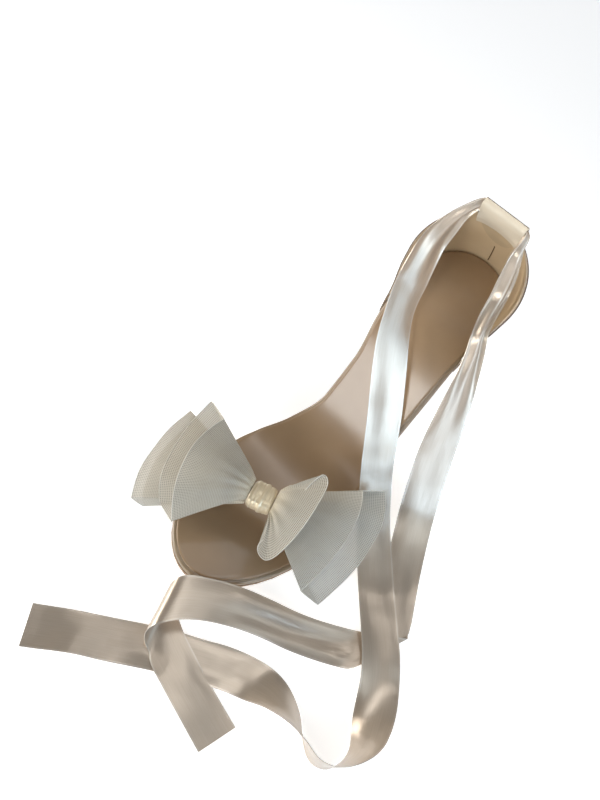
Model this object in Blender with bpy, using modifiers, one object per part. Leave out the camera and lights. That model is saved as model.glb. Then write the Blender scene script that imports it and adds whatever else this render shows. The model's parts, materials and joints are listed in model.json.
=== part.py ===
"""Stiletto sandal, left shoe, with a heel cup, a mesh bow over the toes and satin ankle ribbons.

World frame in metres, +Z up: the origin is the centre of the heel tip's bottom face, the toe points
to -Y, the medial side (big toe) is -X, and the shoe stands on the plane Z = 0.
The tables below are in millimetres; MM turns them into metres where a mesh is made.
"""
import math

import bmesh
import bpy
import numpy as np
from mathutils import Matrix, Vector

MM = 0.001

# ---------------------------------------------------------------- driving dimensions, millimetres
INSOLE_LENGTH = 243.0        # heel back to toe, measured along the curved insole
TIP_SETBACK = 24.9           # heel tip's centre, forward of the heel's back
SOLE_LOW = 6.0               # lowest height of the sock's top face, under the ball of the foot
GAP = 0.4                    # between faces that touch
SOCK_THICK = 0.7
INSOLE_THICK = 3.0
OUTSOLE_THICK = 1.7
EDGE_ROUND = 1.0             # rounding of the wrapped insole's edge
BREAST_AT = 52.0             # heel's front face, along the insole
HEEL_ROUND = 30.0            # how far the round of the heel reaches along the insole
TOE_ROUND_MEDIAL = 52.0
TOE_ROUND_LATERAL = 58.0
HEEL_POWER = 2.1             # fullness of the two rounds, 2 is an ellipse
TOE_POWER = 1.85
TOE_SWING = -1.5             # how far the toe's centre line bends to the medial side
COUNTER_THICK = 1.8
COUNTER_TILT = math.radians(20.6)    # forward lean of the heel cup, square to the heel seat
COUNTER_END = 58.0           # where the cup's wings end, along the insole
COUNTER_FLARE = 5.5          # how far the cup's sides open at the top
COUNTER_LEAN = 6.2           # how far its back curves forward at TUNNEL_UP
TUNNEL_UP = 43.4             # ribbon tunnel's centre, above the heel seat
TUNNEL_HALF_LENGTH = 12.3
TUNNEL_HALF_HEIGHT = 5.0
TUNNEL_HALF_DEPTH = 2.7
TUNNEL_THICK = 1.2
TIP_HEIGHT = 8.0
TIP_RADIUS = 5.0
STRAP_WIDTH = 12.0
STRAP_THICK = 1.5
STRAP_RISE = 21.6            # inside height of the toe strap's arch above its feet
STRAP_FOOT = 2.4             # height of its feet
STRAP_MEDIAL_AT = 203.0      # where its feet stand, along the insole
STRAP_LATERAL_AT = 186.0
KNOT_HALF = (6.2, 8.2, 5.4)  # along the bow, along the foot, up
BOW_THICK = 0.9
RIBBON_THICK = 0.6


def table(columns, *rows):
    """A small table as named columns."""
    return {name: np.array(values, float) for name, values in zip(columns.split(), zip(*rows))}


# Half widths of the insole's body, before its two ends are rounded.
OUTLINE = table(
    "along medial lateral",
    (0, 25.9, 25.9), (34, 25.8, 25.6), (60, 24.1, 26.8), (90, 19.2, 27.6), (116, 18.9, 28.3),
    (140, 26.0, 32.0), (158, 34.2, 36.9), (172, 37.7, 38.7), (190, 37.6, 37.8), (243, 37.6, 36.8))

# Downward slope of the insole in degrees, and how far its sides rise above its middle.
PROFILE = table(
    "along slope cup",
    (0, 20.2, 1.2), (40, 22.2, 1.2), (62, 45.2, 0.8), (85, 53.2, 0.5), (110, 51.6, 0.3),
    (130, 39.9, 0.1), (150, 19.2, 0.0), (168, 4.0, 0.0), (185, 0.0, 0.0), (215, -2.0, 0.0),
    (243, -4.5, 0.0))

# Height of the heel cup's topline above the heel seat, from the back round to the wings.
TOPLINE = table(
    "along height",
    (0, 38.1), (3.4, 38.1), (7, 35.6), (12, 31.0), (18, 25.5), (27, 18.5), (36, 11.5), (44, 5.5),
    (50, 1.5), (58, -1.2))

# Sections of the heel, from its top lift's seat up to above the heel seat.
HEEL = table(
    "height back_by tilt half_width front back squareness",
    (8.3, 0.0, 0, 4.9, 4.9, 4.9, 0.0), (24, 0.1, 0, 5.0, 5.1, 5.1, 0.0),
    (42, 0.3, 2, 5.6, 5.9, 5.7, 0.0), (56, 0.5, 5, 7.0, 8.2, 7.2, 0.1),
    (65, 0.2, 9, 9.6, 10.8, 9.7, 0.3), (72, -0.8, 13, 14.4, 14.6, 13.7, 0.6),
    (78, -1.5, 17, 21.0, 17.8, 20.4, 0.85), (83, -1.4, 20, 27.0, 19.2, 28.2, 1.0),
    (88, -1.6, 21, 28.2, 19.2, 30.6, 1.0), (99, -5.4, 21, 28.4, 15.2, 34.6, 1.0))

# Bow loops: the knot's side that the root lies on, the root's height on it, how far the loop arches
# over a straight line, then points on the mouth's upper lip and as many on its lower lip, each from
# the heel side to the toe side.
LOOPS = {
    "bow_loop_medial_front": dict(
        side=-1, root_up=2.7, arch=4.0,
        upper=((-41.0, -124.8, 38.0), (-36.0, -157.0, 41.0), (-20.9, -177.2, 22.0)),
        lower=((-54.6, -120.4, 34.0), (-47.0, -156.0, 27.0), (-33.5, -173.0, 16.5))),
    "bow_loop_medial_back": dict(
        side=-1, root_up=-2.0, arch=3.6,
        upper=((-61.0, -127.5, 24.0), (-58.5, -157.5, 16.5), (-48.0, -179.0, 8.0)),
        lower=((-58.0, -129.5, 17.0), (-54.5, -158.5, 8.5), (-42.0, -176.0, 4.0))),
    "bow_loop_lateral_front": dict(
        side=1, root_up=2.9, arch=2.2,
        upper=((16.5, -114.8, 47.5), (22.4, -117.5, 47.0), (27.4, -137.4, 45.0), (28.4, -151.7, 37.0)),
        lower=((15.9, -127.0, 42.5), (18.6, -146.2, 36.0), (18.1, -158.4, 31.5), (25.5, -160.4, 31.0))),
    "bow_loop_lateral_back": dict(
        side=1, root_up=-2.1, arch=4.4,
        upper=((35.1, -99.4, 38.0), (45.5, -121.4, 31.0), (46.6, -153.3, 16.0)),
        lower=((43.2, -86.3, 30.0), (56.7, -108.2, 18.5), (57.1, -148.3, 7.5))),
}
LOOP_ROOT_HALF = (6.0, 1.75)  # along the foot, up
LOOP_ROOT_OUT = 6.75          # from the knot's centre
BOW_AXIS = Vector((0.946, 0.323, 0.0)).normalized()
KNOT_CENTRE = Vector((1.7, -138.7, 31.4))

# Ribbon ends. Each row is a place on the centre line and the strip's width there: the way it points
# on the floor plan and how far it climbs, in degrees, and its length from edge to edge. The strip is
# gathered in the tunnel, and where it folds or rolls over, its rows lie along the fold.
RIBBON_MEDIAL = table(
    "x y z turn climb width",
    (-0.3, 7.1, 138.6, 90, -60, 6.0), (-8.0, 7.1, 138.6, 90, -60, 6.0), (-13.3, 7.1, 138.5, 90, -60, 6.2),
    (-18.0, 2.3, 131.7, 66, -42, 8.8), (-21.0, -2.2, 122.2, 50, -30, 13), (-22.2, -7.6, 112.4, 50, -25, 17),
    (-20.4, -14.2, 103.4, 50, -25, 19), (-18.0, -21.0, 96.2, 46, -27, 20), (-15.4, -28.0, 91, 46, -29, 20),
    (-11.6, -35.0, 85.0, 50, -24, 20), (-5.6, -43.2, 77.0, 50, -12, 20), (1.9, -50.3, 67.0, 50, -4, 20),
    (9.3, -56.6, 57.0, 50, -3, 20), (15.8, -62.0, 48.0, 50, -4, 20), (22.9, -69.0, 38.6, 51, -8, 20),
    (29.9, -76.7, 31.0, 53, -11, 20), (36.9, -83.0, 23.0, 54, -11, 20), (45.3, -90.8, 16.0, 53, -9, 20),
    (53.5, -98.5, 10.0, 50, -5, 20), (62.7, -107.1, 6.0, 48, 0, 20), (73.6, -118.0, 3.6, 45, 0, 20),
    (85.0, -130.6, 4.6, 38, 0, 20), (96.2, -142.9, 4.8, 34, 0, 20), (105.3, -155.6, 4.4, 27, 2, 20),
    (112.4, -171.0, 5.8, 16, 30, 20), (115.6, -185.6, 9.8, 0, 68, 20), (111.0, -197.8, 10.6, -40, 86, 20),
    (102.6, -202.4, 10.6, -84, 88, 20), (93.4, -200.0, 10.2, -110, 80, 20), (83.0, -195.6, 8.6, -102, 56, 20),
    (70.0, -193.8, 5.2, -88, 28, 20), (57.6, -196.2, 1.8, -70, 6, 20), (45.6, -201.0, 0.8, -61, 0, 20),
    (34.6, -207.3, 0.8, -58, 0, 20), (21.7, -214.5, 0.8, -58, 0, 20), (9.6, -222.3, 0.8, -57, 0, 20),
    (-2.1, -230.3, 0.8, -55, 0, 20), (-15.6, -239.5, 0.8, -55, 0, 20), (-33.6, -252.8, 0.8, -54, 0, 20))

RIBBON_LATERAL = table(
    "x y z turn climb width",
    (0.3, 7.1, 138.6, 90, -60, 6.0), (8.0, 7.1, 138.6, 90, -60, 6.0), (13.3, 7.1, 138.6, 90, -60, 6.0),
    (15.8, 1.6, 130.8, 66, -12, 9.0), (18.8, -1.2, 119.5, 56, -7, 12), (21.2, -4.6, 109.6, 52, -10, 12),
    (23.4, -11.6, 101.2, 47, -8, 10.5), (26.5, -19.4, 95.4, 50, -4, 9.5), (31.2, -24.4, 85.8, 53, -3, 11.5),
    (35.4, -30.2, 75.0, 52, -2, 15), (39.2, -36.2, 65.5, 50, 0, 18), (42.9, -42.4, 55.5, 47, 1, 19.5),
    (46.8, -49.0, 45.0, 42, 1, 20), (51.3, -55.6, 34.2, 36, 1, 20), (56.8, -63.2, 22.8, 30, 0, 20),
    (62.8, -72.0, 12.6, 25, 0, 20), (69.3, -82.6, 6.0, 23, 0, 20), (76.0, -95.0, 2.4, 24, 0, 20),
    (82.6, -107.5, 0.8, 28, 0, 20), (88.9, -120.1, 0.8, 38, 0, 20.4), (93.0, -129.0, 0.8, 57, 0, 23.2),
    (96.2, -136.4, 0.8, 72, 0, 28.5), (96.9, -138.0, 1.5, 72, 0, 28.5), (95.8, -139.6, 2.2, 72, 0, 28.5),
    (89.2, -146.0, 2.0, 92, 0, 22), (82.6, -151.0, 1.4, 112, 0, 20), (70.0, -158.6, 1.4, 117, 5, 19),
    (57.2, -165.4, 2.8, 117, 9, 18.6), (44.2, -171.0, 4.6, 118, 8, 18.8), (31.8, -177.4, 7.2, 117, 4, 19.6),
    (20.0, -185.2, 9.8, 116, 0, 20.8), (11.2, -192.8, 11.6, 114, 0, 22.6), (6.2, -199.0, 12.2, 112, 0, 25),
    (3.9, -203.2, 10.7, 112, 0, 25), (3.7, -206.7, 7.0, 112, 0, 25), (6.3, -208.9, 3.4, 112, 0, 25),
    (10.8, -210.4, 1.9, 112, 0, 25), (19.8, -214.4, 2.0, 92, 0, 21), (31.2, -217.6, 2.2, 78, 0, 20),
    (44.0, -220.7, 2.2, 76, 0, 20), (64.8, -225.3, 0.8, 76, 0, 20))


# ------------------------------------------------------------------------------ shape of the last
def smooth(x, xs, ys):
    """Monotone cubic through the table's points."""
    x, steps = np.asarray(x, float), np.diff(xs)
    rates = np.diff(ys) / steps
    slopes = np.concatenate([[rates[0]], np.zeros(len(xs) - 2), [rates[-1]]])
    for i in range(1, len(xs) - 1):
        if rates[i - 1] * rates[i] > 0:
            before, after = steps[i] * 2 + steps[i - 1], steps[i] + steps[i - 1] * 2
            slopes[i] = (before + after) / (before / rates[i - 1] + after / rates[i])
    i = np.clip(np.searchsorted(xs, x) - 1, 0, len(steps) - 1)
    t = (x - xs[i]) / steps[i]
    start = (1 + 2 * t) * (1 - t) ** 2 * ys[i] + t * (1 - t) ** 2 * steps[i] * slopes[i]
    finish = t * t * (3 - 2 * t) * ys[i + 1] + t * t * (t - 1) * steps[i] * slopes[i + 1]
    return start + finish


def half_width(along, side):
    """Half width of the insole at a place along it, on the side -1 (medial) or 1 (lateral)."""
    width = float(smooth(along, OUTLINE["along"], OUTLINE["medial" if side < 0 else "lateral"]))
    toe_round = TOE_ROUND_MEDIAL if side < 0 else TOE_ROUND_LATERAL
    ends = ((along / HEEL_ROUND, HEEL_POWER), ((INSOLE_LENGTH - along) / toe_round, TOE_POWER))
    for reach, power in ends:
        width *= (1 - min(max(1 - reach, 0.0), 1.0) ** power) ** (1 / power)
    return width


def integrate_profile():
    """Walk along the insole and add up its slope: place along, world Y, world Z and angle."""
    along = np.linspace(0.0, INSOLE_LENGTH, 973)
    angle = np.radians(smooth(along, PROFILE["along"], PROFILE["slope"]))
    step = along[1] - along[0]
    run = np.concatenate([[0.0], np.cumsum((np.cos(angle[1:]) + np.cos(angle[:-1])) / 2 * step)])
    drop = np.concatenate([[0.0], np.cumsum((np.sin(angle[1:]) + np.sin(angle[:-1])) / 2 * step)])
    return along, TIP_SETBACK - run, SOLE_LOW + drop.max() - drop, angle


WALK = integrate_profile()


def centre_line(along):
    """World Y and Z of the sock's top on the centre line, the slope there and the line's X."""
    y, z, angle = (float(np.interp(along, WALK[0], column)) for column in WALK[1:])
    swing = TOE_SWING * min(max((along - 60) / 180, 0.0), 1.0) ** 2
    return y, z, angle, swing


def sole_point(along, across, depth):
    """A place on the sole: along it, across it from the centre line, and depth below the sock."""
    y, z, angle, swing = centre_line(along)
    side = 1 if across > 0 else -1
    body = float(smooth(along, OUTLINE["along"], OUTLINE["medial" if side < 0 else "lateral"]))
    rise = float(smooth(along, PROFILE["along"], PROFILE["cup"])) * min(abs(across) / body, 1.1) ** 2
    up = rise - depth
    return Vector((swing + across, y - math.sin(angle) * up, z + math.cos(angle) * up))


def edge_frame(along, side):
    """Edge of the insole: the point, and the level direction that points out of the shoe."""
    y, z, angle, swing = centre_line(along)
    low, high = max(along - 0.3, 0.0), along + 0.3
    growth = (half_width(high, side) - half_width(low, side)) / (high - low)
    toeward = Vector((0.0, -math.cos(angle), -math.sin(angle)))
    outward = (Vector((side, 0.0, 0.0)) - toeward * growth).normalized()
    return sole_point(along, side * half_width(along, side), 0.0), outward


def stations():
    """Places along the sole that all its slabs share, closer together where an end is round."""
    heel_steps, middle_steps, toe_steps = 8, 23, 9
    toe_start = INSOLE_LENGTH - TOE_ROUND_MEDIAL
    heel = [HEEL_ROUND * (i / heel_steps) ** 2 for i in range(heel_steps)]
    middle = [HEEL_ROUND + (toe_start - HEEL_ROUND) * i / middle_steps for i in range(middle_steps)]
    toe = [INSOLE_LENGTH - TOE_ROUND_MEDIAL * (i / toe_steps) ** 2 for i in range(toe_steps, -1, -1)]
    return heel + middle + toe


# ------------------------------------------------------------------------------------ mesh helpers
def make_material(name, color, roughness, metallic=0.0, alpha=1.0):
    material = bpy.data.materials.new(name)
    material.use_nodes = True
    shader = material.node_tree.nodes["Principled BSDF"]
    shader.inputs["Base Color"].default_value = (*color, 1.0)
    shader.inputs["Roughness"].default_value = roughness
    shader.inputs["Metallic"].default_value = metallic
    shader.inputs["Alpha"].default_value = alpha
    return material


def make_object(name, mesh_data, material, collection):
    """Finish a bmesh: scale millimetres to metres, weld, point the faces out and link it."""
    bmesh.ops.scale(mesh_data, vec=(MM, MM, MM), verts=mesh_data.verts)
    bmesh.ops.remove_doubles(mesh_data, verts=mesh_data.verts, dist=1e-6)
    bmesh.ops.recalc_face_normals(mesh_data, faces=mesh_data.faces)
    mesh = bpy.data.meshes.new(name)
    mesh_data.to_mesh(mesh)
    mesh_data.free()
    mesh.shade_smooth()
    mesh.set_sharp_from_angle(angle=math.radians(40))
    obj = bpy.data.objects.new(name, mesh)
    collection.objects.link(obj)
    if material:
        mesh.materials.append(material)
    return obj


def grid_sheet(rows, closed=False):
    """An open sheet through rows of points; closed joins each row's two ends."""
    sheet = bmesh.new()
    lines = [[sheet.verts.new(point) for point in row] for row in rows]
    for first, second in zip(lines, lines[1:]):
        count = len(first)
        for i in range(count if closed else count - 1):
            j = (i + 1) % count
            sheet.faces.new((first[i], first[j], second[j], second[i]))
    return sheet


def loft_solid(rings):
    """A closed solid through closed rings of points, with flat fans over its two ends."""
    solid = grid_sheet(rings, closed=True)
    solid.verts.ensure_lookup_table()
    count = len(rings[0])
    for ring_start in (0, len(solid.verts) - count):
        solid.faces.new([solid.verts[ring_start + i] for i in range(count)])
    return solid


def thicken(obj, thickness, offset):
    shell = obj.modifiers.new("wall", "SOLIDIFY")
    shell.thickness = thickness * MM
    shell.offset = offset
    shell.use_even_offset = True
    return shell


def round_edges(obj, width, segments=2, angle=60):
    rounding = obj.modifiers.new("rounded_edges", "BEVEL")
    rounding.width = width * MM
    rounding.segments = segments
    rounding.limit_method = "ANGLE"
    rounding.angle_limit = math.radians(angle)
    return rounding


def cut_with(obj, cutter):
    cut = obj.modifiers.new("cut", "BOOLEAN")
    cut.operation = "DIFFERENCE"
    cut.solver = "EXACT"
    cut.object = cutter
    return cut


def hide_cutter(cutter):
    cutter.hide_render = True
    cutter.display_type = "WIRE"
    return cutter


# ---------------------------------------------------------------------------------- the sole's slabs
def slab_sheet(places, columns, depth, inset):
    """A sheet at one depth under the sock, with its outline drawn in by inset(along)."""
    rows = []
    for along in places:
        draw_in = inset(along)
        row_along = along + draw_in * (1 - 2 * along / INSOLE_LENGTH)
        edges = []
        for side in (-1, 1):
            column = OUTLINE["medial" if side < 0 else "lateral"]
            body = float(smooth(along, OUTLINE["along"], column))
            edges.append(side * half_width(along, side) * (1 - draw_in / body))
        row = [sole_point(row_along, edges[0] + (edges[1] - edges[0]) * i / columns, depth)
               for i in range(columns + 1)]
        rows.append(row)
    return grid_sheet(rows)


def build_slab(name, depth, thick, inset, places, material, collection, columns=4):
    """A slab whose upper face lies at depth, thickened downwards."""
    sheet = slab_sheet(places, columns, depth, inset)
    obj = make_object(name, sheet, material, collection)
    if obj.data.polygons[len(obj.data.polygons) // 2].normal.z < 0:
        obj.data.flip_normals()
    thicken(obj, thick, -1.0)
    return obj


def sock_inset(along):
    """The sock fills the heel cup and stops short of the open edge further forward."""
    return 0.4 + 1.7 * min(max((along - 44) / 18, 0.0), 1.0)


def build_sole(materials, parts, cutters):
    places = stations()
    sock = build_slab("sock", 0.0, SOCK_THICK, sock_inset, places, materials["sock"], parts)
    insole_depth = SOCK_THICK + GAP
    insole = build_slab("insole", insole_depth, INSOLE_THICK, lambda along: 0.0, places,
                        materials["leather"], parts)
    round_edges(insole, EDGE_ROUND, 2)
    outsole_depth = insole_depth + INSOLE_THICK + GAP
    forward = [BREAST_AT + GAP] + [along for along in places if along > BREAST_AT + 1.0]
    outsole = build_slab("outsole", outsole_depth, OUTSOLE_THICK, lambda along: 0.0, forward,
                         materials["outsole"], parts)
    ground = bmesh.new()
    bmesh.ops.create_cube(ground, size=1.0)
    bmesh.ops.scale(ground, vec=(200.0, 400.0, 20.0), verts=ground.verts)
    bmesh.ops.translate(ground, vec=(0.0, -60.0, -10.0), verts=ground.verts)
    cut_with(outsole, hide_cutter(make_object("ground_cutter", ground, None, cutters)))
    return sock, insole, outsole


# ------------------------------------------------------------------------------------------ heel
def seat_shape(count):
    """Unit outline of the heel seat with its flat breast: across, and back from the middle."""
    middle = BREAST_AT / 2
    points = []
    for i in range(count):
        turn = 2 * math.pi * i / count
        across, back = math.sin(turn), math.cos(turn)
        low, high = 0.0, 40.0
        for _ in range(24):
            reach = (low + high) / 2
            along = middle - back * reach
            wide = half_width(along, 1 if across >= 0 else -1) if 0 < along < BREAST_AT else -1.0
            low, high = (reach, high) if abs(across * reach) < wide else (low, reach)
        points.append((across * low / 25.8, back * low / middle))
    return points


def build_heel(materials, parts, cutters):
    count = 36
    seat = seat_shape(count)
    rings = []
    for row in range(len(HEEL["height"])):
        at = {name: values[row] for name, values in HEEL.items()}
        lean = math.radians(at["tilt"])
        ring = []
        for i, (seat_across, seat_back) in enumerate(seat):
            turn = 2 * math.pi * i / count
            across = math.sin(turn) * (1 - at["squareness"]) + seat_across * at["squareness"]
            back = math.cos(turn) * (1 - at["squareness"]) + seat_back * at["squareness"]
            out = back * (at["back"] if back > 0 else at["front"])
            ring.append(Vector((across * at["half_width"], at["back_by"] + math.cos(lean) * out,
                                at["height"] + math.sin(lean) * out)))
        rings.append(ring)
    heel = make_object("heel", loft_solid(rings), materials["heel"], parts)
    depth = SOCK_THICK + INSOLE_THICK + 2 * GAP
    rows = [[sole_point(max(along, 0.0), across, depth) + Vector((0, max(-along, 0.0), 0))
             for across in np.linspace(-34, 34, 10)] for along in (-12, 0, 10, 20, 30, 40, 48, 56, 64)]
    seat_cutter = make_object("seat_cutter", grid_sheet(rows), None, cutters)
    if seat_cutter.data.polygons[20].normal.z < 0:
        seat_cutter.data.flip_normals()
    thicken(seat_cutter, 26.0, 1.0).use_even_offset = False
    cut_with(heel, hide_cutter(seat_cutter))
    return heel


def build_heel_tip(materials, parts):
    tip = bmesh.new()
    bmesh.ops.create_cone(tip, cap_ends=True, segments=36, radius1=TIP_RADIUS - 0.3,
                          radius2=TIP_RADIUS, depth=TIP_HEIGHT)
    bmesh.ops.translate(tip, vec=(0.0, 0.0, TIP_HEIGHT / 2), verts=tip.verts)
    return make_object("heel_tip", tip, materials["heel_tip"], parts)


# ------------------------------------------------------------------------- heel cup and its tunnel
def counter_point(along, side, up):
    """Inner face of the heel cup, at a height above the heel seat."""
    edge, outward = edge_frame(along, side)
    rise = Vector((0.0, -math.sin(COUNTER_TILT), math.cos(COUNTER_TILT)))
    backness = min(max(outward.y, 0.0), 1.0) ** 1.5
    swell = 1.2 * math.sin(math.pi * min(max(up, 0.0) / 26, 1.0)) - COUNTER_LEAN * (up / 50) ** 2
    open_up = COUNTER_FLARE * math.sin(min(max(up, 0.0) / 30, 1.0) * math.pi / 2)
    wing = min(max((COUNTER_END - along) / 20, 0.0), 1.0)
    lean = backness * swell + (1 - backness) * open_up * wing
    level = Vector((outward.x, outward.y, 0.0)).normalized()
    if up < 0:
        return edge + level * GAP + (sole_point(along, 0, -up) - sole_point(along, 0, 0))
    return edge + level * (GAP + lean) + rise * up


def build_counter(materials, parts):
    """The heel cup: a wall that follows the seat's edge and falls from the back to its wings."""
    half = [along for along in stations() if along < COUNTER_END + 0.5]
    around = [(-1, along) for along in reversed(half)] + [(1, along) for along in half[1:]]
    base = -(SOCK_THICK + INSOLE_THICK + GAP)
    levels = 6
    rows = []
    for level in range(levels + 1):
        row = []
        for side, along in around:
            top = float(smooth(along, TOPLINE["along"], TOPLINE["height"]))
            up = base + (top - base) * level / levels
            row.append(counter_point(along, side, up))
        rows.append(row)
    cup = make_object("counter", grid_sheet(rows), materials["leather"], parts)
    back = min(cup.data.polygons, key=lambda face: -face.center.y)
    if back.normal.y < 0:
        cup.data.flip_normals()
    thicken(cup, COUNTER_THICK, 1.0)
    round_edges(cup, 0.5, 1, 70)
    return cup


def tunnel_centre():
    return counter_point(0.0, 1, TUNNEL_UP) + Vector((0.0, COUNTER_THICK / 2, 0.0))


def build_tunnel(materials, parts):
    """A flat loop of leather over the cup's back edge, open at both sides for the ribbon."""
    tall = (counter_point(0, 1, TUNNEL_UP) - counter_point(0, 1, TUNNEL_UP - 8)).normalized()
    deep = Vector((0.0, tall.z, -tall.y))
    centre = tunnel_centre()
    straight = TUNNEL_HALF_HEIGHT - TUNNEL_HALF_DEPTH
    section = []
    for i in range(20):
        turn = 2 * math.pi * (i + 0.5) / 20
        up = math.sin(turn) * TUNNEL_HALF_DEPTH + math.copysign(straight, math.sin(turn))
        section.append(tall * up + deep * math.cos(turn) * TUNNEL_HALF_DEPTH)
    rows = [[centre + Vector((x, 0, 0)) + offset for offset in section]
            for x in np.linspace(-TUNNEL_HALF_LENGTH, TUNNEL_HALF_LENGTH, 4)]
    tunnel = make_object("ribbon_tunnel", grid_sheet(rows, closed=True), materials["leather"], parts)
    thicken(tunnel, TUNNEL_THICK, -1.0)
    return tunnel


# ------------------------------------------------------------------------------ toe strap and bow
def build_toe_strap(materials, parts):
    arches = []
    for offset in (-STRAP_WIDTH / 2, 0.0, STRAP_WIDTH / 2):
        feet = []
        for along, side in ((STRAP_MEDIAL_AT + offset, -1), (STRAP_LATERAL_AT + offset, 1)):
            edge, outward = edge_frame(along, side)
            feet.append(Vector((edge.x, edge.y, 0)) + Vector((outward.x, outward.y, 0)) * 2 * GAP)
        arches.append(feet)
    steps = 22
    rows = []
    for i in range(steps + 1):
        turn = math.pi * i / steps
        reach = 0.5 - math.copysign(abs(math.cos(turn)) ** 0.75, math.cos(turn)) / 2
        up = Vector((0, 0, STRAP_FOOT + STRAP_RISE * abs(math.sin(turn))))
        rows.append([medial.lerp(lateral, reach) + up for medial, lateral in arches])
    strap = make_object("toe_strap", grid_sheet(rows), materials["leather"], parts)
    crown = max(strap.data.polygons, key=lambda face: face.center.z)
    if crown.normal.z < 0:
        strap.data.flip_normals()
    thicken(strap, STRAP_THICK, 1.0)
    return strap


def build_knot(materials, parts):
    """The band that gathers the bow: a rounded block, full in the middle."""
    knot = bmesh.new()
    bmesh.ops.create_uvsphere(knot, u_segments=20, v_segments=12, radius=1.0)
    for vert in knot.verts:
        point = Vector([math.copysign(abs(value) ** 0.62, value) for value in vert.co])
        vert.co = Vector([point[i] * KNOT_HALF[i] for i in range(3)])
    turn = Matrix.Rotation(math.atan2(BOW_AXIS.y, BOW_AXIS.x), 4, "Z")
    bmesh.ops.transform(knot, matrix=Matrix.Translation(KNOT_CENTRE) @ turn, verts=knot.verts)
    return make_object("bow_knot", knot, materials["satin"], parts)


def through(points, count):
    """Evenly spread points on the closed smooth curve through a ring of points."""
    ring = [Vector(point) for point in points]
    size = len(ring)
    curve = []
    for i in range(count):
        place = i / count * size
        k, t = int(place), place - int(place)
        a, b, c, d = (ring[(k + j) % size] for j in (-1, 0, 1, 2))
        curve.append(b + (c - a) * t / 2 + (a - b * 2.5 + c * 2 - d / 2) * t * t
                     + (b * 1.5 - a / 2 - c * 1.5 + d / 2) * t ** 3)
    return curve


def build_bow_loop(name, shape, materials, parts):
    """A flared loop of stiff mesh, hollow, from its root at the knot to its open mouth."""
    count, steps = 18, 5
    toeward = Vector((BOW_AXIS.y, -BOW_AXIS.x, 0.0))
    root = KNOT_CENTRE + BOW_AXIS * shape["side"] * LOOP_ROOT_OUT + Vector((0, 0, shape["root_up"]))
    across = toeward * LOOP_ROOT_HALF[0]
    high = Vector((0, 0, LOOP_ROOT_HALF[1]))
    root_ring = through((root - across + high * 0.6, root + high, root + across + high * 0.6,
                         root + across - high * 0.6, root - high, root - across - high * 0.6), count)
    mouth_ring = through((*shape["upper"], *reversed(shape["lower"])), count)
    rings = []
    for step in range(steps + 1):
        t = step / steps
        lift = Vector((0, 0, shape["arch"] * math.sin(math.pi * t ** 0.65)))
        rings.append([a.lerp(b, t) + lift for a, b in zip(root_ring, mouth_ring)])
    loop = make_object(name, grid_sheet(rings, closed=True), materials["mesh"], parts)
    thicken(loop, BOW_THICK, 0.0).use_even_offset = False
    return loop


# ---------------------------------------------------------------------------------------- ribbons
def build_ribbon(name, route, materials, parts):
    """A flat ribbon along its route, with each row across it laid as the table says."""
    knots = np.arange(len(route["x"]), dtype=float)
    count = 2 * (len(knots) - 1)
    places = np.linspace(0, knots[-1], count + 1)
    line = {column: curve_through(places, values) for column, values in route.items()}
    rows = []
    for i in range(count + 1):
        turn, climb = math.radians(line["turn"][i]), math.radians(line["climb"][i])
        across = Vector((math.cos(turn) * math.cos(climb), math.sin(turn) * math.cos(climb),
                         math.sin(climb)))
        reach = across * line["width"][i] / 2
        centre = Vector([line[axis][i] for axis in "xyz"])
        centre.z = max(centre.z, abs(reach.z) + RIBBON_THICK)
        rows.append([centre - reach, centre, centre + reach])
    ribbon = make_object(name, grid_sheet(rows), materials["satin"], parts)
    thicken(ribbon, RIBBON_THICK, 0.0).use_even_offset = False
    return ribbon


def curve_through(places, values):
    """Catmull-Rom curve through evenly numbered values."""
    values = np.concatenate([[2 * values[0] - values[1]], values, [2 * values[-1] - values[-2]]])
    k = np.clip(places.astype(int), 0, len(values) - 4)
    t = places - k
    a, b, c, d = (values[k + j] for j in range(4))
    return b + (c - a) * t / 2 + (a - 2.5 * b + 2 * c - d / 2) * t ** 2 \
        + (1.5 * b - a / 2 - 1.5 * c + d / 2) * t ** 3


# ------------------------------------------------------------------------------------------- build
def main():
    for obj in list(bpy.data.objects):
        bpy.data.objects.remove(obj, do_unlink=True)
    scene = bpy.context.scene
    parts = bpy.data.collections.new("stiletto_sandal")
    cutters = bpy.data.collections.new("cutters")
    scene.collection.children.link(parts)
    scene.collection.children.link(cutters)
    materials = {
        "sock": make_material("sock_leather", (0.55, 0.42, 0.31), 0.35),
        "leather": make_material("blush_patent_leather", (0.66, 0.54, 0.42), 0.22),
        "outsole": make_material("outsole_leather", (0.46, 0.36, 0.27), 0.55),
        "heel": make_material("heel_lacquer", (0.085, 0.045, 0.028), 0.15),
        "heel_tip": make_material("heel_tip_rubber", (0.012, 0.011, 0.010), 0.5),
        "mesh": make_material("bow_mesh", (0.66, 0.63, 0.55), 0.45, alpha=0.8),
        "satin": make_material("ribbon_satin", (0.74, 0.69, 0.62), 0.3),
    }
    build_sole(materials, parts, cutters)
    build_heel(materials, parts, cutters)
    build_heel_tip(materials, parts)
    build_counter(materials, parts)
    build_tunnel(materials, parts)
    build_toe_strap(materials, parts)
    build_knot(materials, parts)
    for name, shape in LOOPS.items():
        build_bow_loop(name, shape, materials, parts)
    build_ribbon("ribbon_medial", RIBBON_MEDIAL, materials, parts)
    build_ribbon("ribbon_lateral", RIBBON_LATERAL, materials, parts)


main()
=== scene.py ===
"""Looks of the stiletto sandal: leather, satin ribbons, a net bow and a plain studio round them.

World frame in metres, +Z up: the origin is the centre of the heel tip's bottom face, the toe points
to -Y and the medial side is -X. The tables are in millimetres; MM turns them into metres.
"""

import json
import math

import bmesh
import bpy
import numpy as np
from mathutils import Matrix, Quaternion, Vector

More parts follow.
